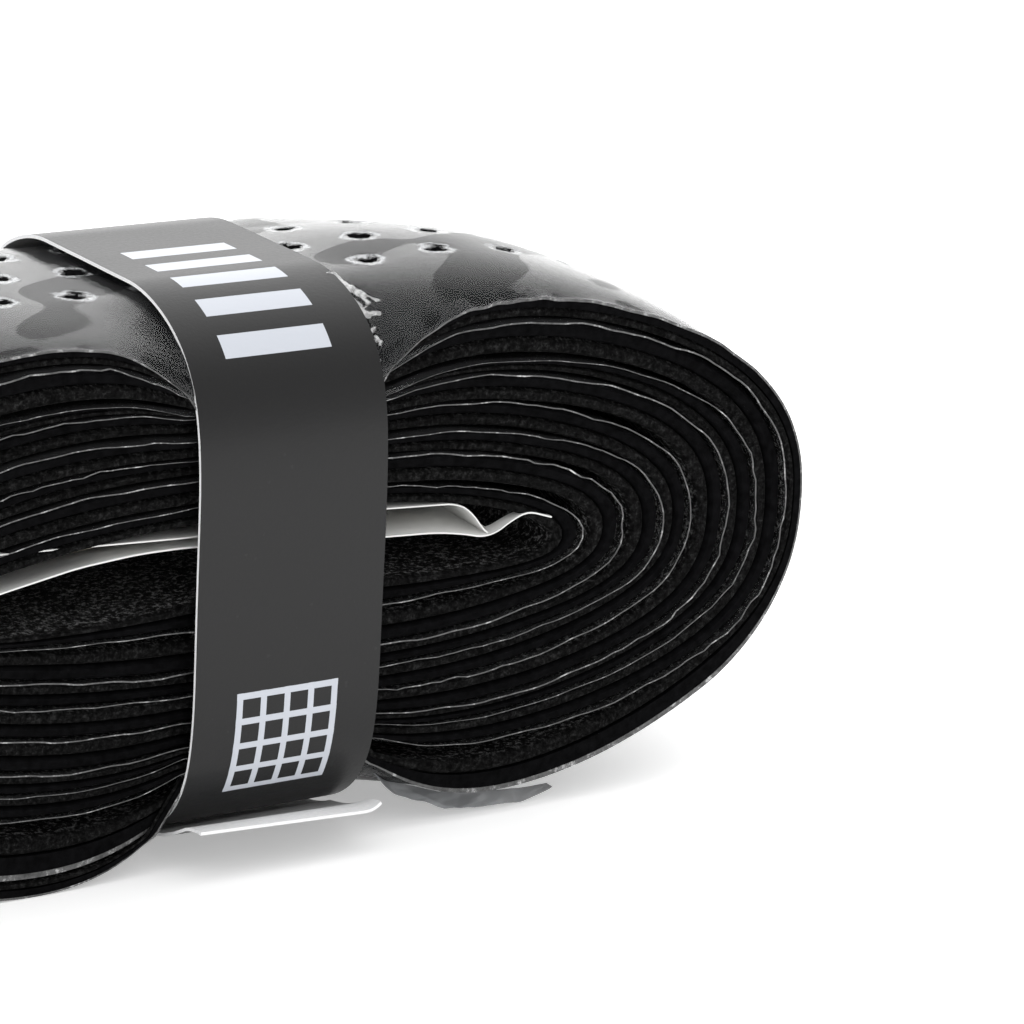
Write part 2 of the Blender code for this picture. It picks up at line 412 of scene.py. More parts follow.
def mix_shader(tree, share, first, second):
    """The first shader with a share of the second."""
    inputs = ((0, share), (1, first), (2, second))
    return add(tree, "ShaderNodeMixShader", inputs).outputs[0]


def ramp(tree, factor, stops):
    """A colour ramp through (place, colour) stops."""
    node = add(tree, "ShaderNodeValToRGB", ((0, factor),))
    elements = node.color_ramp.elements
    while len(elements) < len(stops):
        elements.new(0.5)
    for element, (place, colour) in zip(elements, stops):
        element.position = place
        element.color = colour
    return node.outputs[0]


def noise(tree, coordinates, size, detail=2.0, roughness=0.5):
    """Noise whose grains are about size millimetres, on coordinates in metres."""
    inputs = (("Vector", coordinates), ("Scale", 1.0 / (size * MM)), ("Detail", detail),
              ("Roughness", roughness))
    return add(tree, "ShaderNodeTexNoise", inputs).outputs["Fac"]


def bump(tree, shader, height, depth, strength=1.0):
    """Drive the shader's normal by a height map that stands depth millimetres high."""
    inputs = (("Height", height), ("Distance", depth * MM), ("Strength", strength))
    tree.links.new(add(tree, "ShaderNodeBump", inputs).outputs[0], shader.inputs["Normal"])


def objects(tree):
    """Object coordinates."""
    return add(tree, "ShaderNodeTexCoord").outputs["Object"]


def uv_millimetres(tree):
    """The sheet's own coordinates in millimetres: along it and across it."""
    place = add(tree, "ShaderNodeTexCoord").outputs["UV"]
    parts = add(tree, "ShaderNodeSeparateXYZ", ((0, place),))
    along = math_node(tree, "MULTIPLY", parts.outputs[0], 100.0)
    across = math_node(tree, "MULTIPLY", parts.outputs[1], 100.0)
    return along, across


def hole_distance(tree):
    """How far a place on the tape is from the nearest perforation, in millimetres.

    Rows stand ROW_PITCH apart and every other row is moved along by half a hole pitch.
    """
    along, across = uv_millimetres(tree)
    row = math_node(tree, "DIVIDE", math_node(tree, "SUBTRACT", across, FIRST_ROW), ROW_PITCH)
    nearest = math_node(tree, "MAXIMUM", math_node(tree, "ROUND", row), 0.0)
    nearest = math_node(tree, "MINIMUM", nearest, HOLE_ROWS - 1.0)
    off_row = math_node(tree, "MULTIPLY", math_node(tree, "SUBTRACT", row, nearest), ROW_PITCH)
    odd = math_node(tree, "PINGPONG", nearest, 1.0)
    hole = math_node(tree, "DIVIDE", math_node(tree, "SUBTRACT", along, FIRST_HOLE), HOLE_PITCH)
    hole = math_node(tree, "ADD", hole, math_node(tree, "MULTIPLY", odd, 0.5))
    off_hole = math_node(tree, "SUBTRACT", hole, math_node(tree, "ROUND", hole))
    off_hole = math_node(tree, "MULTIPLY", off_hole, HOLE_PITCH)
    flat = add(tree, "ShaderNodeCombineXYZ", ((0, off_hole), (1, off_row)))
    inputs = ((0, flat.outputs[0]),)
    return add(tree, "ShaderNodeVectorMath", inputs, operation="LENGTH").outputs["Value"]


def polyurethane(colour):
    """Moulded soft polyurethane: black, with a fine leather grain that breaks up its shine."""
    made, tree, shader = start("moulded polyurethane", colour, 0.8, 0.02)
    grain = noise(tree, objects(tree), 0.5, 3.0)
    tree.links.new(ramp(tree, grain, ((0.3, shade(colour, 0.5)), (0.7, shade(colour, 1.5)))),
                   shader.inputs["Base Color"])
    bump(tree, shader, grain, 0.05)
    return made


def felt(colour):
    """Needled polyester felt: matt black with paler fibres, packed down at the cut edges."""
    made, tree, shader = start("needled felt", colour, 1.0, 0.02)
    fibres = noise(tree, objects(tree), 0.30, 4.0, 0.8)
    face = ramp(tree, fibres, ((0.40, shade(colour, 0.6)), (0.52, shade(colour, 5.0)),
                               (0.62, shade(colour, 60.0))))
    cut = ramp(tree, fibres, ((0.40, shade(colour, 1.0)), (0.55, shade(colour, 3.5)),
                              (0.66, shade(colour, 10.0))))
    across = math_node(tree, "ABSOLUTE", uv_millimetres(tree)[1])
    inputs = ((0, across), (1, TAPE_HALF - 0.7), (2, TAPE_HALF - 0.1), (3, 0.0), (4, 1.0))
    edge = add(tree, "ShaderNodeMapRange", inputs).outputs[0]
    mixed = add(tree, "ShaderNodeMix", ((0, edge), ("A", face), ("B", cut)), data_type="RGBA")
    tree.links.new(mixed.outputs["Result"], shader.inputs["Base Color"])
    bump(tree, shader, fibres, 0.12)
    return made


def film(name, pierced=False, haze=0.010, face_on=0.010, cloud="#e4e6e8"):
    """Clear polypropylene film: its gloss shows, and what lies under it shows through.

    The gloss is a mirror shader, mixed in more the flatter it is seen, from face_on up. haze is
    the share of dull plastic of the colour cloud. Where the film is pierced over the
    perforations, it has a ragged hole inside a torn ring that stress has turned white.
    """
    made, tree, shader = start(name, linear("#f4f4f4"), 0.08)
    shader.inputs["Metallic"].default_value = 1.0
    where = objects(tree)
    smear = noise(tree, where, 3.0, 4.0)
    tree.links.new(math_node(tree, "MULTIPLY_ADD", smear, 0.14, 0.02), shader.inputs["Roughness"])
    bump(tree, shader, noise(tree, where, 2.6, 3.0), 0.06)
    edge_on = add(tree, "ShaderNodeLayerWeight", (("Blend", 0.5),)).outputs["Facing"]
    gloss = math_node(tree, "MULTIPLY_ADD", math_node(tree, "POWER", edge_on, 6.0), 0.62, face_on)
    clear = add(tree, "ShaderNodeBsdfTransparent").outputs[0]
    shown = mix_shader(tree, gloss, clear, shader.outputs[0])
    dull = (("Base Color", linear(cloud)), ("Roughness", 0.5))
    dull = add(tree, "ShaderNodeBsdfPrincipled", dull).outputs[0]
    cloudy = math_node(tree, "MULTIPLY", noise(tree, where, 5.0, 3.0, 0.6), 2.0 * haze)
    if pierced:
        ragged = math_node(tree, "MULTIPLY_ADD", noise(tree, where, 0.6, 2.0), 1.3, -0.65)
        ragged = math_node(tree, "ADD", hole_distance(tree), ragged)
        off_ring = math_node(tree, "ABSOLUTE", math_node(tree, "SUBTRACT", ragged, 0.98))
        inputs = ((0, off_ring), (1, 0.07), (2, 0.24), (3, 0.42), (4, 0.0))
        white = add(tree, "ShaderNodeMapRange", inputs).outputs[0]
        torn = noise(tree, where, 0.22, 2.0, 0.8)
        torn = ramp(tree, torn, ((0.36, (0, 0, 0, 1)), (0.50, (1, 1, 1, 1))))
        cloudy = math_node(tree, "MAXIMUM", cloudy, math_node(tree, "MULTIPLY", white, torn))
        hole = math_node(tree, "LESS_THAN", ragged, 0.62)
    shown = mix_shader(tree, cloudy, shown, dull)
    if pierced:
        shown = mix_shader(tree, hole, shown, clear)
    tree.links.new(shown, tree.nodes["Material Output"].inputs["Surface"])
    return made


def film_edge():
    """The film's cut edge, where its haze adds up to a grey line, with bright patches painted in
    as glints.
    """
    made, tree, shader = start("cut film edge", linear("#5c5c5c"), 0.35, 0.4)
    where = objects(tree)
    glint_noise = noise(tree, where, 0.9, 4.0, 0.8)
    # The noise runs the grey from darker to a bright top end, and that bright end is painted
    # glints.
    tree.links.new(ramp(tree, glint_noise, ((0.35, linear("#343434")), (0.55, linear("#5c5c5c")),
                                      (0.70, linear("#cccccc")))), shader.inputs["Base Color"])
    return made


def liner_paper():
    """Siliconised release liner: smooth and grey-white, with a soft sheen."""
    made, tree, shader = start("siliconised release liner", linear("#dcdcda"), 0.35, 0.35)
    where = objects(tree)
    cloud = noise(tree, where, 2.5, 4.0, 0.6)
    tree.links.new(ramp(tree, cloud, ((0.3, linear("#dadad8")), (0.7, linear("#e8e8e6")))),
                   shader.inputs["Base Color"])
    bump(tree, shader, cloud, 0.05)
    return made


def adhesive():
    """Acrylic adhesive: a tacky, yellowish clear layer with a wet gloss."""
    made, tree, shader = start("acrylic adhesive", linear("#8f8a7c"), 0.15, 0.5)
    where = objects(tree)
    streaks = noise(tree, where, 1.2, 3.0, 0.6)
    tree.links.new(ramp(tree, streaks, ((0.3, linear("#7d786b")), (0.7, linear("#a19c8d")))),
                   shader.inputs["Base Color"])
    bump(tree, shader, streaks, 0.06)
    return made


def vinyl():
    """Plasticised vinyl tape: satin black with a fine emboss."""
    made, tree, shader = start("plasticised vinyl", linear("#101011"), 0.42, 0.4)
    where = objects(tree)
    emboss = noise(tree, where, 0.35, 2.0)
    tree.links.new(math_node(tree, "MULTIPLY_ADD", emboss, 0.15, 0.33), shader.inputs["Roughness"])
    bump(tree, shader, emboss, 0.03)
    return made


def dried_glue():
    """Dried hot glue: yellow, smooth and a little uneven."""
    made, tree, shader = start("dried hot glue", linear("#c9bd94"), 0.4, 0.5)
    lumps = noise(tree, objects(tree), 1.5, 2.0)
    bump(tree, shader, lumps, 0.1)
    return made


def bare_paper(name, code):
    """Uncoated board: white, matt, with a cloudy fibre formation."""
    made, tree, shader = start(name, linear(code), 0.85, 0.2)
    where = objects(tree)
    fibres = noise(tree, where, 0.3, 4.0, 0.7)
    tree.links.new(ramp(tree, fibres, ((0.3, linear("#f3f4f5")), (0.7, linear("#ffffff")))),
                   shader.inputs["Base Color"])
    bump(tree, shader, fibres, 0.02)
    return made


def coated_paper(ink_colour, print_colour, marks):
    """Coated and printed board: charcoal ink, satin and a little dusty, and light grey marks.

    marks gives the places of the bars' middle and the net's along the band, in millimetres.
    """
    made, tree, shader = start("coated board, charcoal ink", ink_colour, 0.42, 0.26)
    shader.inputs["Coat Weight"].default_value = 0.2
    shader.inputs["Coat Roughness"].default_value = 0.25
    where = objects(tree)
    along, across = uv_millimetres(tree)
    tooth = noise(tree, where, 0.22, 3.0, 0.6)
    ink = ramp(tree, tooth, ((0.3, shade(ink_colour, 0.9)), (0.7, shade(ink_colour, 1.15))))
    dust = noise(tree, where, 0.5, 1.0, 0.5)
    dust = ramp(tree, dust, ((0.76, (0, 0, 0, 1)), (0.80, (1, 1, 1, 1))))
    dusty = (0, dust), ("A", ink), ("B", shade(ink_colour, 3.0))
    ink = add(tree, "ShaderNodeMix", dusty, data_type="RGBA").outputs["Result"]

    def within(value, centre, half):
        """1 where value is less than half away from centre."""
        away = math_node(tree, "ABSOLUTE", math_node(tree, "SUBTRACT", value, centre))
        return math_node(tree, "LESS_THAN", away, half)

    def repeated(value, centre, half_pitch, half):
        """1 within half of centre, and again at every whole pitch from it."""
        away = math_node(tree, "SUBTRACT", value, centre)
        return math_node(tree, "LESS_THAN", math_node(tree, "PINGPONG", away, half_pitch), half)

    bars = repeated(along, marks["bars"], BAR_HALF_PITCH, BAR_HALF)
    bars = math_node(tree, "MULTIPLY", bars, within(along, marks["bars"], BARS_HALF_RUN))
    bars = math_node(tree, "MULTIPLY", bars, within(across, BARS_ACROSS, BARS_HALF_LENGTH))
    middles = (along, marks["net"]), (across, 0.0)
    strings = (repeated(*middle, NET_HALF_PITCH, STRING_HALF) for middle in middles)
    inside = (within(*middle, NET_HALF) for middle in middles)
    net = math_node(tree, "MAXIMUM", *strings)
    net = math_node(tree, "MULTIPLY", net, math_node(tree, "MULTIPLY", *inside))
    printed = (0, math_node(tree, "MAXIMUM", bars, net)), ("A", ink), ("B", print_colour)
    colour = add(tree, "ShaderNodeMix", printed, data_type="RGBA").outputs["Result"]
    tree.links.new(colour, shader.inputs["Base Color"])
    tree.links.new(math_node(tree, "MULTIPLY_ADD", tooth, 0.12, 0.34), shader.inputs["Roughness"])
    bump(tree, shader, tooth, 0.012)
    return made


# ---------------------------------------------------------------- the tape

def hole_dents(along, across, dent, pit):
    """How deep the perforations sink a grid: a round dimple, and a ragged pit in its middle.

    The dimple is dent deep and 1.25 mm in radius. The pit is pit deep, and its radius is about
    0.58 mm, with four lobes and seven smaller ones that turn from one hole to the next.
    """
    row = np.clip(np.round((across - FIRST_ROW) / ROW_PITCH), 0, HOLE_ROWS - 1)
    off_row = across - FIRST_ROW - row * ROW_PITCH
    place = (along - FIRST_HOLE) / HOLE_PITCH + 0.5 * (row % 2)
    hole = np.round(place)
    off_hole = (place - hole) * HOLE_PITCH
    away = np.hypot(off_hole, off_row)
    angle = np.arctan2(off_row, off_hole)
    ragged = 0.58 + 0.10 * np.cos(4 * angle + 2.1 * hole + row) + 0.06 * np.cos(7 * angle - hole)
    dimple = np.clip(1.0 - (away / 1.25) ** 2, 0.0, 1.0) ** 2
    sunk = 1.0 / (1.0 + np.exp((away - ragged) / 0.06))
    return dent * dimple + pit * sunk


def strip(name, turns, along, shares, depths, half, materials,
          dents=None, rounding=0.0, lift=None):
    """One ply of the tape between two depths: a grid along it and across it.

    shares are places across from -1 to 1, and half is what they are shares of: one number, or
    one for each row. Near the edges the ply's thickness falls by rounding, which is below zero
    where it grows. dents sink the outer face, and lift raises both faces.
    """
    across = np.broadcast_to(np.reshape(half, (-1, 1)) * shares, (len(along), len(shares)))
    places = across + sideways(along)[:, None]
    middle = (depths[0] + depths[1]) / 2
    edge = ROUNDED_EDGE / TAPE_HALF
    near = np.clip((np.abs(shares) - (1.0 - edge)) / edge, 0, 1)
    thickness = (1.0 - rounding * near ** 2)[None, :]
    outer = middle + (depths[0] - middle) * thickness
    inner = middle + (depths[1] - middle) * thickness
    if dents is not None:
        outer = outer + dents(along[:, None], across)
    if lift is not None:
        raised = lift(along[:, None], across)
        outer, inner = outer - raised, inner - raised
    upper = wound(turns[:, None], outer, places)
    lower = wound(turns[:, None], inner, places)
    return make_slab(name, upper, lower, flat_uv(along[:, None], across), materials)


def edge_shares(half, step):
    """Places across a ply, closer together at its two edges, where it is rounded."""
    edge = 1.0 - np.array([0.0, 0.04, 0.1, 0.2, ROUNDED_EDGE]) / half
    inner = np.linspace(-1.0, 1.0, max(3, int(2 * half / step)))[1:-1]
    inner = inner[np.abs(inner) < edge[-1] - 0.3 / half]
    return np.concatenate([-edge, inner, edge[::-1]])


def ruffle(along, across, height):
    """The film's own wave: broad over the face, and rippled along both edges to about height.

    The ripple starts 1.2 mm in from the tape's edge. It is two sines, and two shorter ones that
    come and go along the tape.
    """
    near = np.clip((np.abs(across) - (TAPE_HALF - 1.2)) / 1.6, 0, 1) ** 2
    broad = ripple(along + 0.7 * across, 21, (19.0, 11.0), 0.012)
    broad = broad + ripple(across, 22, (13.0, 7.0), 0.012)
    wild = np.clip(ripple(along, 24, (53.0, 29.0), 1.0), 0.2, 1.0)
    edge = ripple(along, 23, (9.0, 5.1), 0.5) + wild * ripple(along, 25, (3.1, 1.7), 0.8)
    return broad + near * edge * height


def build_tape(sizes):
    """The felt, the grip face and the film, wound together; the grip face and the film each have a
    finer outermost turn.

    The outermost film shows its overhang over the top of the roll only. Below, it ends level
    with the tape. Its edge is rolled, which makes it three times as thick there.
    """
    face, backing = polyurethane(tuple(sizes.face_colour)), felt(tuple(sizes.felt_colour))
    clear, rim = film("clear polypropylene film"), film_edge()
    pierced = film("pierced polypropylene film", pierced=True)
    overhang, wave = sizes.film_overhang / MM, sizes.film_wave / MM
    shares = edge_shares(TAPE_HALF, PLAIN_COLUMN)

    turns, along = rows_between(FIRST_TURN, LAST_TURN, PLAIN_ROW)
    piece = strip("felt_strip", turns, along, shares, FELT_DEPTHS, TAPE_HALF, (backing,) * 3,
                  rounding=0.45)
    put(piece, "roll", "felt", "felt_backing")

    turns, along = rows_between(FIRST_TURN, OUTER_TURN, PLAIN_ROW)
    piece = strip("grip_face_inner_turns", turns, along, shares, FACE_DEPTHS, TAPE_HALF,
                  (face,) * 3, rounding=0.5)
    put(piece, "roll", "grip_polyurethane", "grip_face")
    shares = edge_shares(TAPE_HALF + overhang, PLAIN_COLUMN)
    piece = strip("film_inner_turns", turns, along, shares, FILM_DEPTHS, TAPE_HALF + overhang,
                  (clear, clear, rim), lift=lambda a, b: ruffle(a, b, wave))
    put(piece, "roll", "clear_film", "cover_film")

    turns, along = rows_between(OUTER_TURN, LAST_TURN, FINE_ROW)
    shares = edge_shares(TAPE_HALF, FINE_COLUMN)
    piece = strip("grip_face_outer_turn", turns, along, shares, FACE_DEPTHS, TAPE_HALF,
                  (face,) * 3, dents=lambda a, b: hole_dents(a, b, 0.10, 0.45))
    put(piece, "roll", "grip_polyurethane", "grip_face")
    on_top = np.clip((turns - 7.04) / 0.06, 0, 1) * np.clip((7.49 - turns) / 0.04, 0, 1)
    share_out = 0.02 + 0.98 * on_top

    def lift(a, b):
        """The film's wave where it stands out, less the dimples that it is pressed into."""
        return ruffle(a, b, wave * share_out[:, None]) - hole_dents(a, b, 0.1, 0.05)

    piece = strip("film_outer_turn", turns, along, shares, OUTER_FILM_DEPTHS,
                  TAPE_HALF + overhang * share_out, (pierced, pierced, rim), rounding=-2.0,
                  lift=lift)
    put(piece, "roll", "clear_film", "cover_film")


# ---------------------------------------------------------------- what is tucked in the core

def build_tucked():
    """The adhesive patch, its liner, and the finishing tape on its own liner.

    The patch and the tape are level sheets that sag by a square towards their ends. Both liners
    reach past the tape's edge at the front. Their right ends are gathered to a point, and
    curled down or folded up and down again, along the smoothed line through the places given.
    """
    liner, tacky, black = liner_paper(), adhesive(), vinyl()
    x = np.linspace(-15.0, 12.0, 90)[:, None]
    y = np.linspace(-1.0, 1.0, 60)[None, :]

    def level(base, half, wave, seed):
        """A nearly flat sheet in the core, half wide each way, with a slight wave along it."""
        places = half * y
        height = base - 0.004 * (x - 1.0) ** 2
        height = height + ripple(x + 0.2 * places, seed, (21.0, 9.0), wave)
        return points(x, places, height)

    uv = flat_uv(x, 12.0 * y)
    piece = make_sheet("adhesive_patch_layer", level(19.45, 10.5, 0.03, 31), 0.1, uv, (tacky,) * 3)
    put(piece, "roll", "adhesive", "adhesive_patch")

    run = np.linspace(-22.0, 13.4, 130)[:, None]
    height = np.interp(run, (-22.0, -17.0, -6.0, 6.2, 11.2, 12.3, 13.4),
                       (20.0, 19.9, 19.4, 19.5, 19.2, 18.6, 16.95))
    width = np.interp(run, (-22.0, 11.0, 13.4), (24.0, 24.0, 1.0))
    grid = points(run, -12.5 + 0.5 * width * (y + 1.0), smoothed(height, 5))
    piece = make_sheet("adhesive_release_liner", grid, 0.08, flat_uv(run, 12.0 * y), (liner,) * 3)
    put(piece, "roll", "release_liner", "adhesive_liner")

    piece = make_sheet("finishing_tape_strip", level(18.75, 9.0, 0.05, 33), 0.14, uv, (black,) * 3)
    put(piece, "roll", "black_vinyl", "finishing_tape")

    run = np.linspace(-24.0, 17.6, 150)[:, None]
    width = np.interp(run, (-24.0, 12.4, 13.5, 17.6), (23.6, 23.6, 0.9, 0.5))
    across = -12.6 + width * np.linspace(0.0, 1.0, 90)[None, :]
    front = np.interp(run, (-24.0, -17.0, -12.6, -9.0, -6.0, 0.0, 6.3,
                            10.0, 12.2, 13.4, 14.3, 15.3, 16.4, 17.6),
                      (16.4, 17.8, 18.6, 18.9, 18.9, 18.4, 17.9,
                       17.7, 17.3, 16.9, 17.4, 18.1, 18.2, 17.5))
    inward = np.clip((across + 12.6) / 9.0, 0, 1) ** 0.8
    height = smoothed(front, 7) * (1 - inward) + 17.9 * inward
    piece = make_sheet("finishing_tape_liner", points(run, across, height), 0.09,
                       flat_uv(run, across), (liner,) * 3)
    put(piece, "roll", "release_liner", "finishing_liner")


# ---------------------------------------------------------------- the paper band

def band_outline():
    """The band's outer face seen from its side: even points, and their places along it.

    Four superellipse corners joined by flats. The outline starts in the lap under the roll and
    goes up the front, over the top, down the back and under the roll again, now on the floor, to
    the crease. There it rises as the corner above it does.
    """
    half_height = (BAND_HIGH[2] - LAP_HEIGHT) / 2.0
    middle = BAND_HIGH[2] - half_height
    corner_depth = BAND_HALF_DEPTH - FLAT_HALF
    angle = np.linspace(0.0, np.pi / 2, 60)
    out = FLAT_HALF + corner_depth * np.sin(angle) ** (2.0 / CORNER_DEPTH_EXPONENT)
    up = half_height * np.cos(angle) ** (2.0 / CORNER_HEIGHT_EXPONENT)
    down = LAP_HEIGHT * np.clip(1.0 - np.linspace(0, 2, 60), 0, 1) ** 1.5
    crease = np.linspace(FLAT_HALF, CREASE_DEPTH, 12)
    past = ((crease - FLAT_HALF) / corner_depth) ** CORNER_DEPTH_EXPONENT
    rise = half_height * (1 - (1 - past) ** (1 / CORNER_HEIGHT_EXPONENT))
    y = np.concatenate([[LAP_START], -out, -out[-2::-1], out, out[-2::-1], -crease])
    z = np.concatenate([[middle - half_height], middle - up, middle + up[-2::-1], middle + up,
                        (middle - up - down)[-2::-1], rise])
    along = np.concatenate([[0.0], np.cumsum(np.hypot(np.diff(y), np.diff(z)))])
    even = np.linspace(0.0, along[-1], int(along[-1] / BAND_STEP))
    return np.interp(even, along, y), np.interp(even, along, z), even


def build_band(sizes):
    """The printed paper band, the glue in its lap and the free flap at its crease.

    The band's face stands back from its outline by a slight wave, which fades below 2 mm so that
    the band keeps clear of the floor. The net is printed 7.2 mm up its front, and the bars
    are about the front edge of its top.
    """
    y, z, along = band_outline()
    front, top = (y < 0) & (z > 2), z > 25
    marks = {
        "net": float(np.interp(7.2, z[front], along[front])),
        "bars": float(along[top][np.argmin(np.abs(y[top] + 6.2))]),
    }
    ink = coated_paper(tuple(sizes.ink_colour), tuple(sizes.print_colour), marks)
    white = bare_paper("uncoated board, inside", "#fafafa")
    edge = bare_paper("cut board edge", "#f2f2f2")
    across = np.linspace(-BAND_HALF_WIDTH, BAND_HALF_WIDTH, 36)[None, :]
    y, z, along = (values[:, None] for values in (y, z, along))
    outward = points(0.0, y, z - BAND_CENTRE)
    outward /= np.linalg.norm(outward, axis=-1, keepdims=True)
    wave = np.abs(ripple(along + 0.3 * across, 41, (31.0, 17.0), 0.04))
    wave = wave * (1.0 - np.clip((2.0 - z) / 2.0, 0, 1))
    face = points(across, y, z) - outward * wave[:, :, None]
    facing = normals(face)
    inward = -np.sign((facing * outward).sum()) * facing
    piece = make_slab("printed_paper_band", face, face + BAND_THICKNESS * inward,
                      flat_uv(along, across), (ink, white, edge))
    put(piece, "band", "band_paper", "paper_band")

    u = np.linspace(GLUE_LOW[1], GLUE_HIGH[1], 30)[:, None]
    v = np.linspace(GLUE_LOW[0], GLUE_HIGH[0], 30)[None, :]
    glue = points(v, u, 0.43 + ripple(u + 0.6 * v, 43, (5.0, 2.3), 0.015))
    piece = make_sheet("lap_glue_layer", glue, 0.09, flat_uv(u, v), (dried_glue(),) * 3)
    put(piece, "band", "glue", "lap_glue")

    build_flap(ink, white, edge)


def build_flap(ink, white, edge):
    """The flap: a sheet that rises from the crease to its free end in front of the roll.

    Its height is the slope's, less a half sine of sag behind and a square of sag at the free end,
    with the right-hand corner curled up and a slight twist across it. Its own places along the
    band start at 96 mm, where nothing is printed.
    """
    along = np.linspace(0.0, FLAP_LENGTH, 40)[:, None]
    across = np.linspace(-BAND_HALF_WIDTH, BAND_HALF_WIDTH, 50)[None, :]
    share = along / FLAP_LENGTH
    corner = np.clip((across - 4.6) / 1.3, 0, 1) ** 2 * share ** 3
    sag = 0.18 * np.sin(np.pi * np.clip(share / 0.7, 0, 1))
    sag = sag + 0.35 * np.clip((share - 0.7) / 0.3, 0, 1) ** 2
    height = FLAP_CREASE_HEIGHT + along * math.sin(FLAP_SLOPE) - sag
    height = height + 0.35 * corner - 0.04 * across * share
    depth = -FLAP_CREASE_DEPTH - along * math.cos(FLAP_SLOPE) + 0.25 * corner
    piece = make_sheet("free_band_flap", points(across, depth, height), -FLAP_THICKNESS,
                       flat_uv(along + 96.0, across), (ink, white, edge))
    put(piece, "flap", "band_paper", "band_flap")


# ---------------------------------------------------------------- loose film

def build_loose_film():
    """The film's tail under the roll, and creased film that has worked out beside the band.

    The tail runs along the roll's lower front edge, from the band to the right. It hangs down by
    a half sine, crumpled, and keeps clear of the floor. The pucker follows the band's front
    corner from the top down and sticks out beside it, the most at 0.62 of its length. Its
    creases start from the band and are lower again at its free edge.
    """
    dusty = film("crumpled polypropylene film", haze=0.7, cloud="#8b8d8f")
    length, width = 12.6, 1.5
    u = np.linspace(0.0, 1.0, 130)[:, None]
    v = np.linspace(0.0, 1.0, 40)[None, :]
    x = 6.4 + length * u
    folds = crumple(length * u, width * v, 51, (4.1, 2.9, 1.9, 1.1), 0.45)
    under = np.interp(x, (6.4, 8.3, 11.7, 17.2, 19.5), (4.2, 2.7, 1.5, 0.8, 0.9))
    drop = 0.85 * np.sin(np.pi * u) ** 0.6 * (1.0 + 1.2 * folds)
    grid = points(x, -11.9 + 0.6 * v + 0.8 * folds, np.maximum(under - drop * (1.0 - v), 0.1))
    piece = make_sheet("film_tail", grid, 0.04, flat_uv(length * u, width * v), (dusty,) * 3,
                       sharp=20)
    put(piece, "roll", "clear_film")

    creased = film("creased polypropylene film", haze=0.06, face_on=0.22)
    angle = np.linspace(0.05, 1.25, 150)[:, None]
    width = np.linspace(0.0, 1.0, 60)[None, :]
    share = (angle - 0.05) / 1.2
    reach = 0.6 + 1.5 * share + 1.3 * np.exp(-((share - 0.62) / 0.16) ** 2)
    y = -5.2 - 7.6 * np.sin(angle) ** 1.1
    z = MIDDLE + ROLL_HALF_HEIGHT * squeeze(y) + 0.14 - 0.10 * width
    folds = crumple(9.0 * angle, 1.1 * reach * width, 57, (1.9, 1.3, 0.8, 0.5), 1.0)
    stand = np.minimum(1.0, 3 * width) * (1.0 - 0.5 * width)
    grid = points(BAND_HALF_WIDTH - 0.5 + reach * width, y - 0.5 * folds * stand,
                  z + 0.9 * folds * stand)
    piece = make_sheet("film_pucker", grid, 0.04, flat_uv(9.0 * angle, reach * width),
                       (creased,) * 3, sharp=12)
    put(piece, "roll", "clear_film")


# ---------------------------------------------------------------- stage

def build_stage():
    """A white floor under a white sky, and the camera.

    The sky is brighter above and behind: its strength follows a smooth step on a weighted sum of
    how far up and how far back a direction points. The camera sees it at an even strength. The
    floor glows a little, which keeps it white and its shadow soft.
    """
    mesh = bpy.data.meshes.new("floor")
    half = 3.0
    corners = [(-half, -half, 0), (half, -half, 0), (half, half, 0), (-half, half, 0)]
    mesh.from_pydata(corners, [], [(0, 1, 2, 3)])
    made, tree, shader = start("matt white floor", linear("#fafafa"), 0.9, 0.0)
    shader.inputs["Emission Color"].default_value = (1.0, 1.0, 1.0, 1.0)
    shader.inputs["Emission Strength"].default_value = 0.35
    mesh.materials.append(made)
    floor = bpy.data.objects.new("floor", mesh)
    bpy.context.scene.collection.objects.link(floor)

    world = bpy.data.worlds.new("studio")
    world.use_nodes = True
    tree = world.node_tree
    direction = add(tree, "ShaderNodeTexCoord").outputs["Generated"]
    parts = add(tree, "ShaderNodeSeparateXYZ", ((0, direction),))
    high = math_node(tree, "MULTIPLY", parts.outputs[1], 0.75)
    high = math_node(tree, "MULTIPLY_ADD", parts.outputs[2], 0.45, high)
    inputs = ((0, high), (1, -0.30), (2, 0.90), (3, 0.9), (4, 2.1))
    light = add(tree, "ShaderNodeMapRange", inputs, interpolation_type="SMOOTHSTEP").outputs[0]
    seen = add(tree, "ShaderNodeLightPath").outputs["Is Camera Ray"]
    inputs = ((0, seen), (2, light), (3, 1.2))
    strength = add(tree, "ShaderNodeMix", inputs, data_type="FLOAT").outputs[0]
    background = tree.nodes["Background"]
    background.inputs["Color"].default_value = (1.0, 1.0, 1.0, 1.0)
    tree.links.new(strength, background.inputs["Strength"])
    bpy.context.scene.world = world

    camera = bpy.data.cameras.new("camera")
    camera.lens = 163.07
    camera.sensor_width = 36.0
    camera.clip_start = 0.01
    holder = bpy.data.objects.new("camera", camera)
    bpy.context.scene.collection.objects.link(holder)
    azimuth, elevation, roll = math.radians(-33.39), math.radians(17.14), math.radians(2.9)
    aim, distance = np.array([14.93, -12.5, 18.21]), 261.6
    back = np.array([math.sin(azimuth) * math.cos(elevation),
                     -math.cos(azimuth) * math.cos(elevation), math.sin(elevation)])
    side = np.cross([0.0, 0.0, 1.0], back)
    side /= np.linalg.norm(side)
    right = side * math.cos(roll) + np.cross(back, side) * math.sin(roll)
    place = np.identity(4)
    place[:3, 0], place[:3, 1], place[:3, 2] = right, np.cross(back, right), back
    place[:3, 3] = (aim + distance * back) * MM
    holder.matrix_world = Matrix(place.tolist())
    bpy.context.scene.camera = holder
    bpy.context.scene.view_settings.view_transform = "Standard"


# ---------------------------------------------------------------- add-on

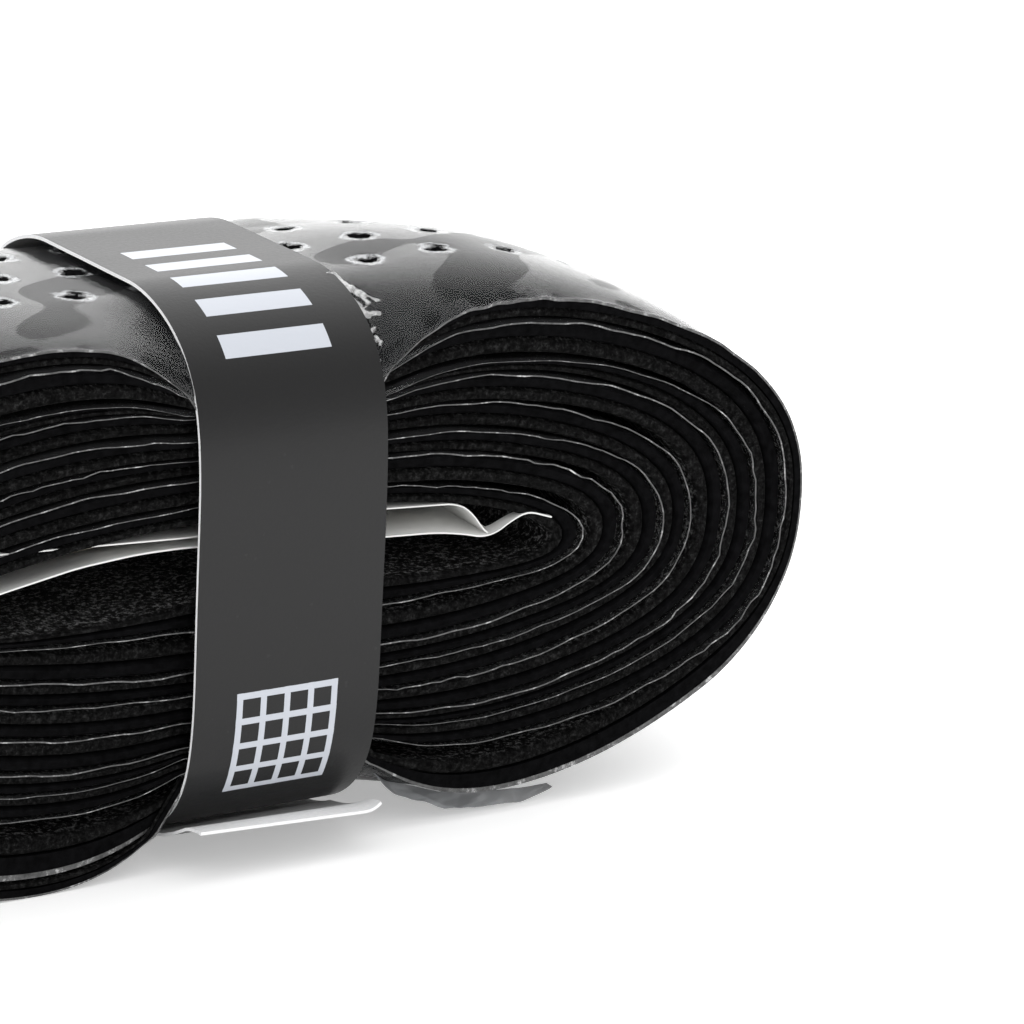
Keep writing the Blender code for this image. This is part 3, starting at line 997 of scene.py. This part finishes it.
class GripRollSizes(bpy.types.PropertyGroup):
    """Sizes that a user may change."""
    film_overhang: bpy.props.FloatProperty(
        name="Film overhang", description="How far the clear film stands out past the tape's edge",
        default=0.28 * MM, min=0.0, subtype="DISTANCE", unit="LENGTH")
    film_wave: bpy.props.FloatProperty(
        name="Film wave", description="How high the film's edge ripples",
        default=0.16 * MM, min=0.0, subtype="DISTANCE", unit="LENGTH")
    face_colour: bpy.props.FloatVectorProperty(
        name="Grip face colour", description="Colour of the moulded polyurethane face",
        default=linear("#0a0a0b"), size=4, min=0.0, max=1.0, subtype="COLOR")
    felt_colour: bpy.props.FloatVectorProperty(
        name="Felt colour", description="Colour of the felt backing under its paler fibres",
        default=linear("#080808"), size=4, min=0.0, max=1.0, subtype="COLOR")
    ink_colour: bpy.props.FloatVectorProperty(
        name="Band colour", description="Colour of the ink that covers the paper band",
        default=linear("#0a0a0b"), size=4, min=0.0, max=1.0, subtype="COLOR")
    print_colour: bpy.props.FloatVectorProperty(
        name="Mark colour", description="Colour of the plain marks printed on the band",
        default=linear("#c2c6ce"), size=4, min=0.0, max=1.0, subtype="COLOR")


class GRIPROLL_OT_tape(bpy.types.Operator):
    """Wind the felt, the grip face and the film"""
    bl_idname = "griproll.tape"
    bl_label = "Wound tape"

    def execute(self, context):
        build_tape(context.scene.grip_roll)
        return {"FINISHED"}


class GRIPROLL_OT_tucked(bpy.types.Operator):
    """Lay the adhesive, the liners and the finishing tape in the core"""
    bl_idname = "griproll.tucked"
    bl_label = "Tucked strips"

    def execute(self, context):
        build_tucked()
        return {"FINISHED"}


class GRIPROLL_OT_band(bpy.types.Operator):
    """Make the printed paper band with its glue and flap"""
    bl_idname = "griproll.band"
    bl_label = "Paper band"

    def execute(self, context):
        build_band(context.scene.grip_roll)
        return {"FINISHED"}


class GRIPROLL_OT_loose_film(bpy.types.Operator):
    """Make the creased film beside and under the roll"""
    bl_idname = "griproll.loose_film"
    bl_label = "Loose film"

    def execute(self, context):
        build_loose_film()
        return {"FINISHED"}


class GRIPROLL_OT_stage(bpy.types.Operator):
    """Set the floor, the light and the camera"""
    bl_idname = "griproll.stage"
    bl_label = "Stage"

    def execute(self, context):
        build_stage()
        return {"FINISHED"}


OPERATORS = (GRIPROLL_OT_tape, GRIPROLL_OT_tucked, GRIPROLL_OT_band, GRIPROLL_OT_loose_film,
             GRIPROLL_OT_stage)


class GRIPROLL_PT_sidebar(bpy.types.Panel):
    """The sizes and the pieces of the grip roll."""
    bl_label = "Grip roll"
    bl_idname = "GRIPROLL_PT_sidebar"
    bl_space_type = "VIEW_3D"
    bl_region_type = "UI"
    bl_category = "Grip roll"

    def draw(self, context):
        for name in GripRollSizes.__annotations__:
            self.layout.prop(context.scene.grip_roll, name)
        for operator in OPERATORS:
            self.layout.operator(operator.bl_idname)


CLASSES = (GripRollSizes, *OPERATORS, GRIPROLL_PT_sidebar)


def register():
    for kind in CLASSES:
        bpy.utils.register_class(kind)
    bpy.types.Scene.grip_roll = bpy.props.PointerProperty(type=GripRollSizes)


def unregister():
    del bpy.types.Scene.grip_roll
    for kind in reversed(CLASSES):
        bpy.utils.unregister_class(kind)


def main():
    register()
    bpy.ops.griproll.tape()
    bpy.ops.griproll.tucked()
    bpy.ops.griproll.band()
    bpy.ops.griproll.loose_film()
    bpy.ops.griproll.stage()


if __name__ == "__main__":
    main()
